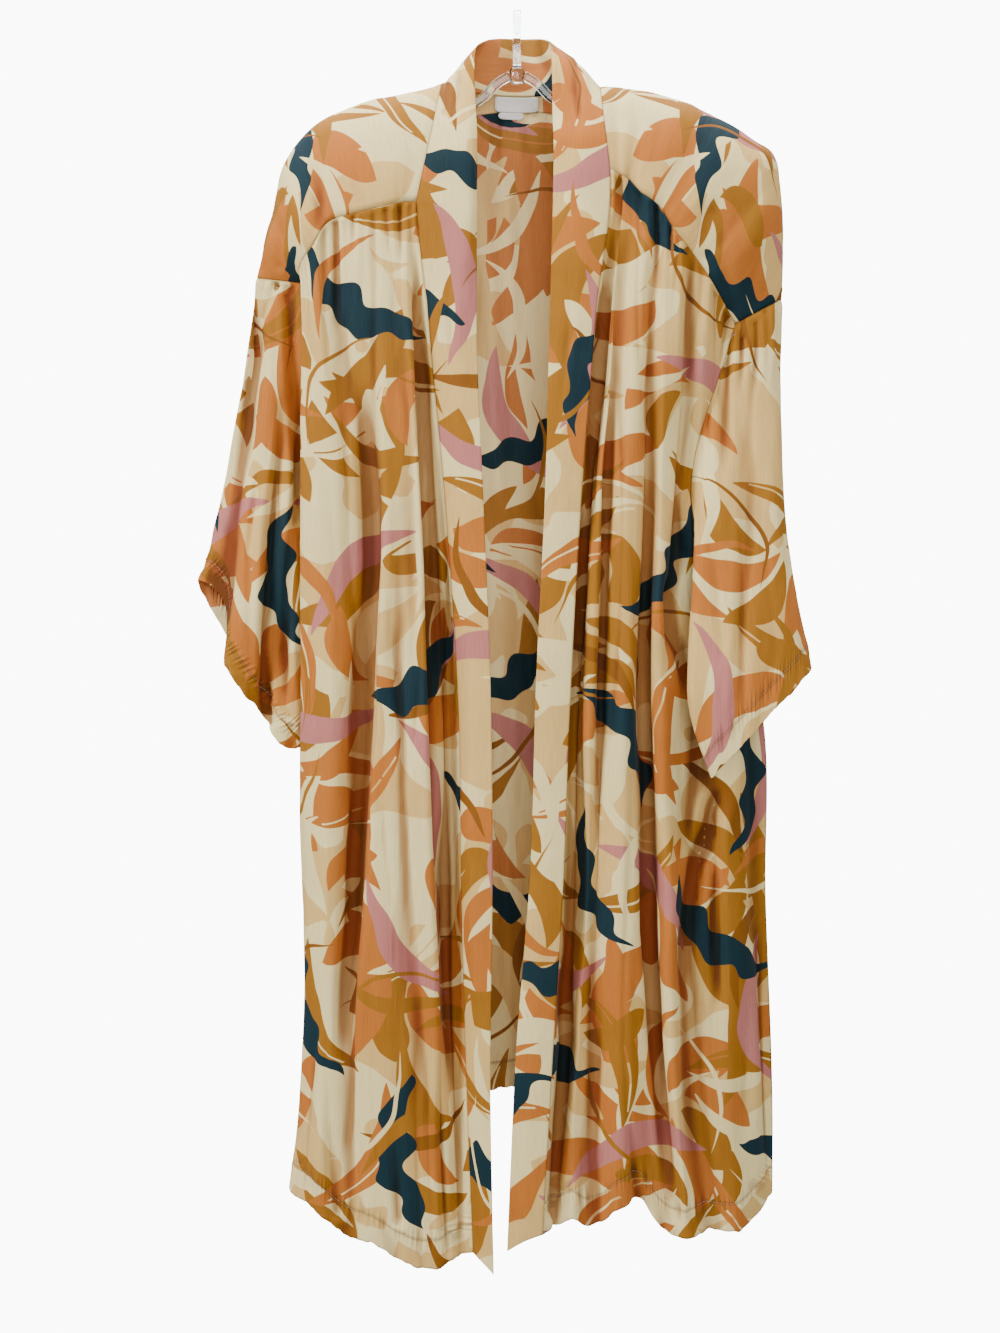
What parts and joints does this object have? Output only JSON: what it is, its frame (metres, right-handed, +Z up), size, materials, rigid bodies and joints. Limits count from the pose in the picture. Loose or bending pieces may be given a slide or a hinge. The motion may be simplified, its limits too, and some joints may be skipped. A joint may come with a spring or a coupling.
{
  "type": "kimono coat on a clear hanger",
  "caption": "Long open-front kimono coat in printed rayon with yoke, gathered panels, wide band and slanted sleeves, hung on a clear plastic hanger.",
  "frame": {"origin": "inside top of the hanger's hook, the point that rests on the rail", "axes": "+X to the viewer's right when the open front is seen, +Y to the back of the coat, +Z up"},
  "size_m": [0.5518, 0.121, 1.1244],
  "materials": {
    "back_panel": "printed plain-weave rayon, soft and matt",
    "front_band": "printed plain-weave rayon, soft and matt",
    "front_left": "printed plain-weave rayon, soft and matt",
    "front_right": "printed plain-weave rayon, soft and matt",
    "sleeve_left": "printed plain-weave rayon, soft and matt",
    "sleeve_right": "printed plain-weave rayon, soft and matt",
    "yoke": "printed plain-weave rayon, soft and matt",
    "hanger": "clear moulded plastic",
    "hanger_hook": "clear moulded plastic",
    "neck_label": "blank woven label",
    "size_tab": "blank woven tab"
  },
  "bodies": {
    "root": {"back_panel": "back_panel", "front_band": "front_band", "front_left": "front_left", "front_right": "front_right", "sleeve_left": "sleeve_left", "sleeve_right": "sleeve_right", "yoke": "yoke", "hanger": "hanger", "hanger_hook": "hanger_hook", "neck_label": "neck_label", "size_tab": "size_tab"}
  },
  "joints": []
}
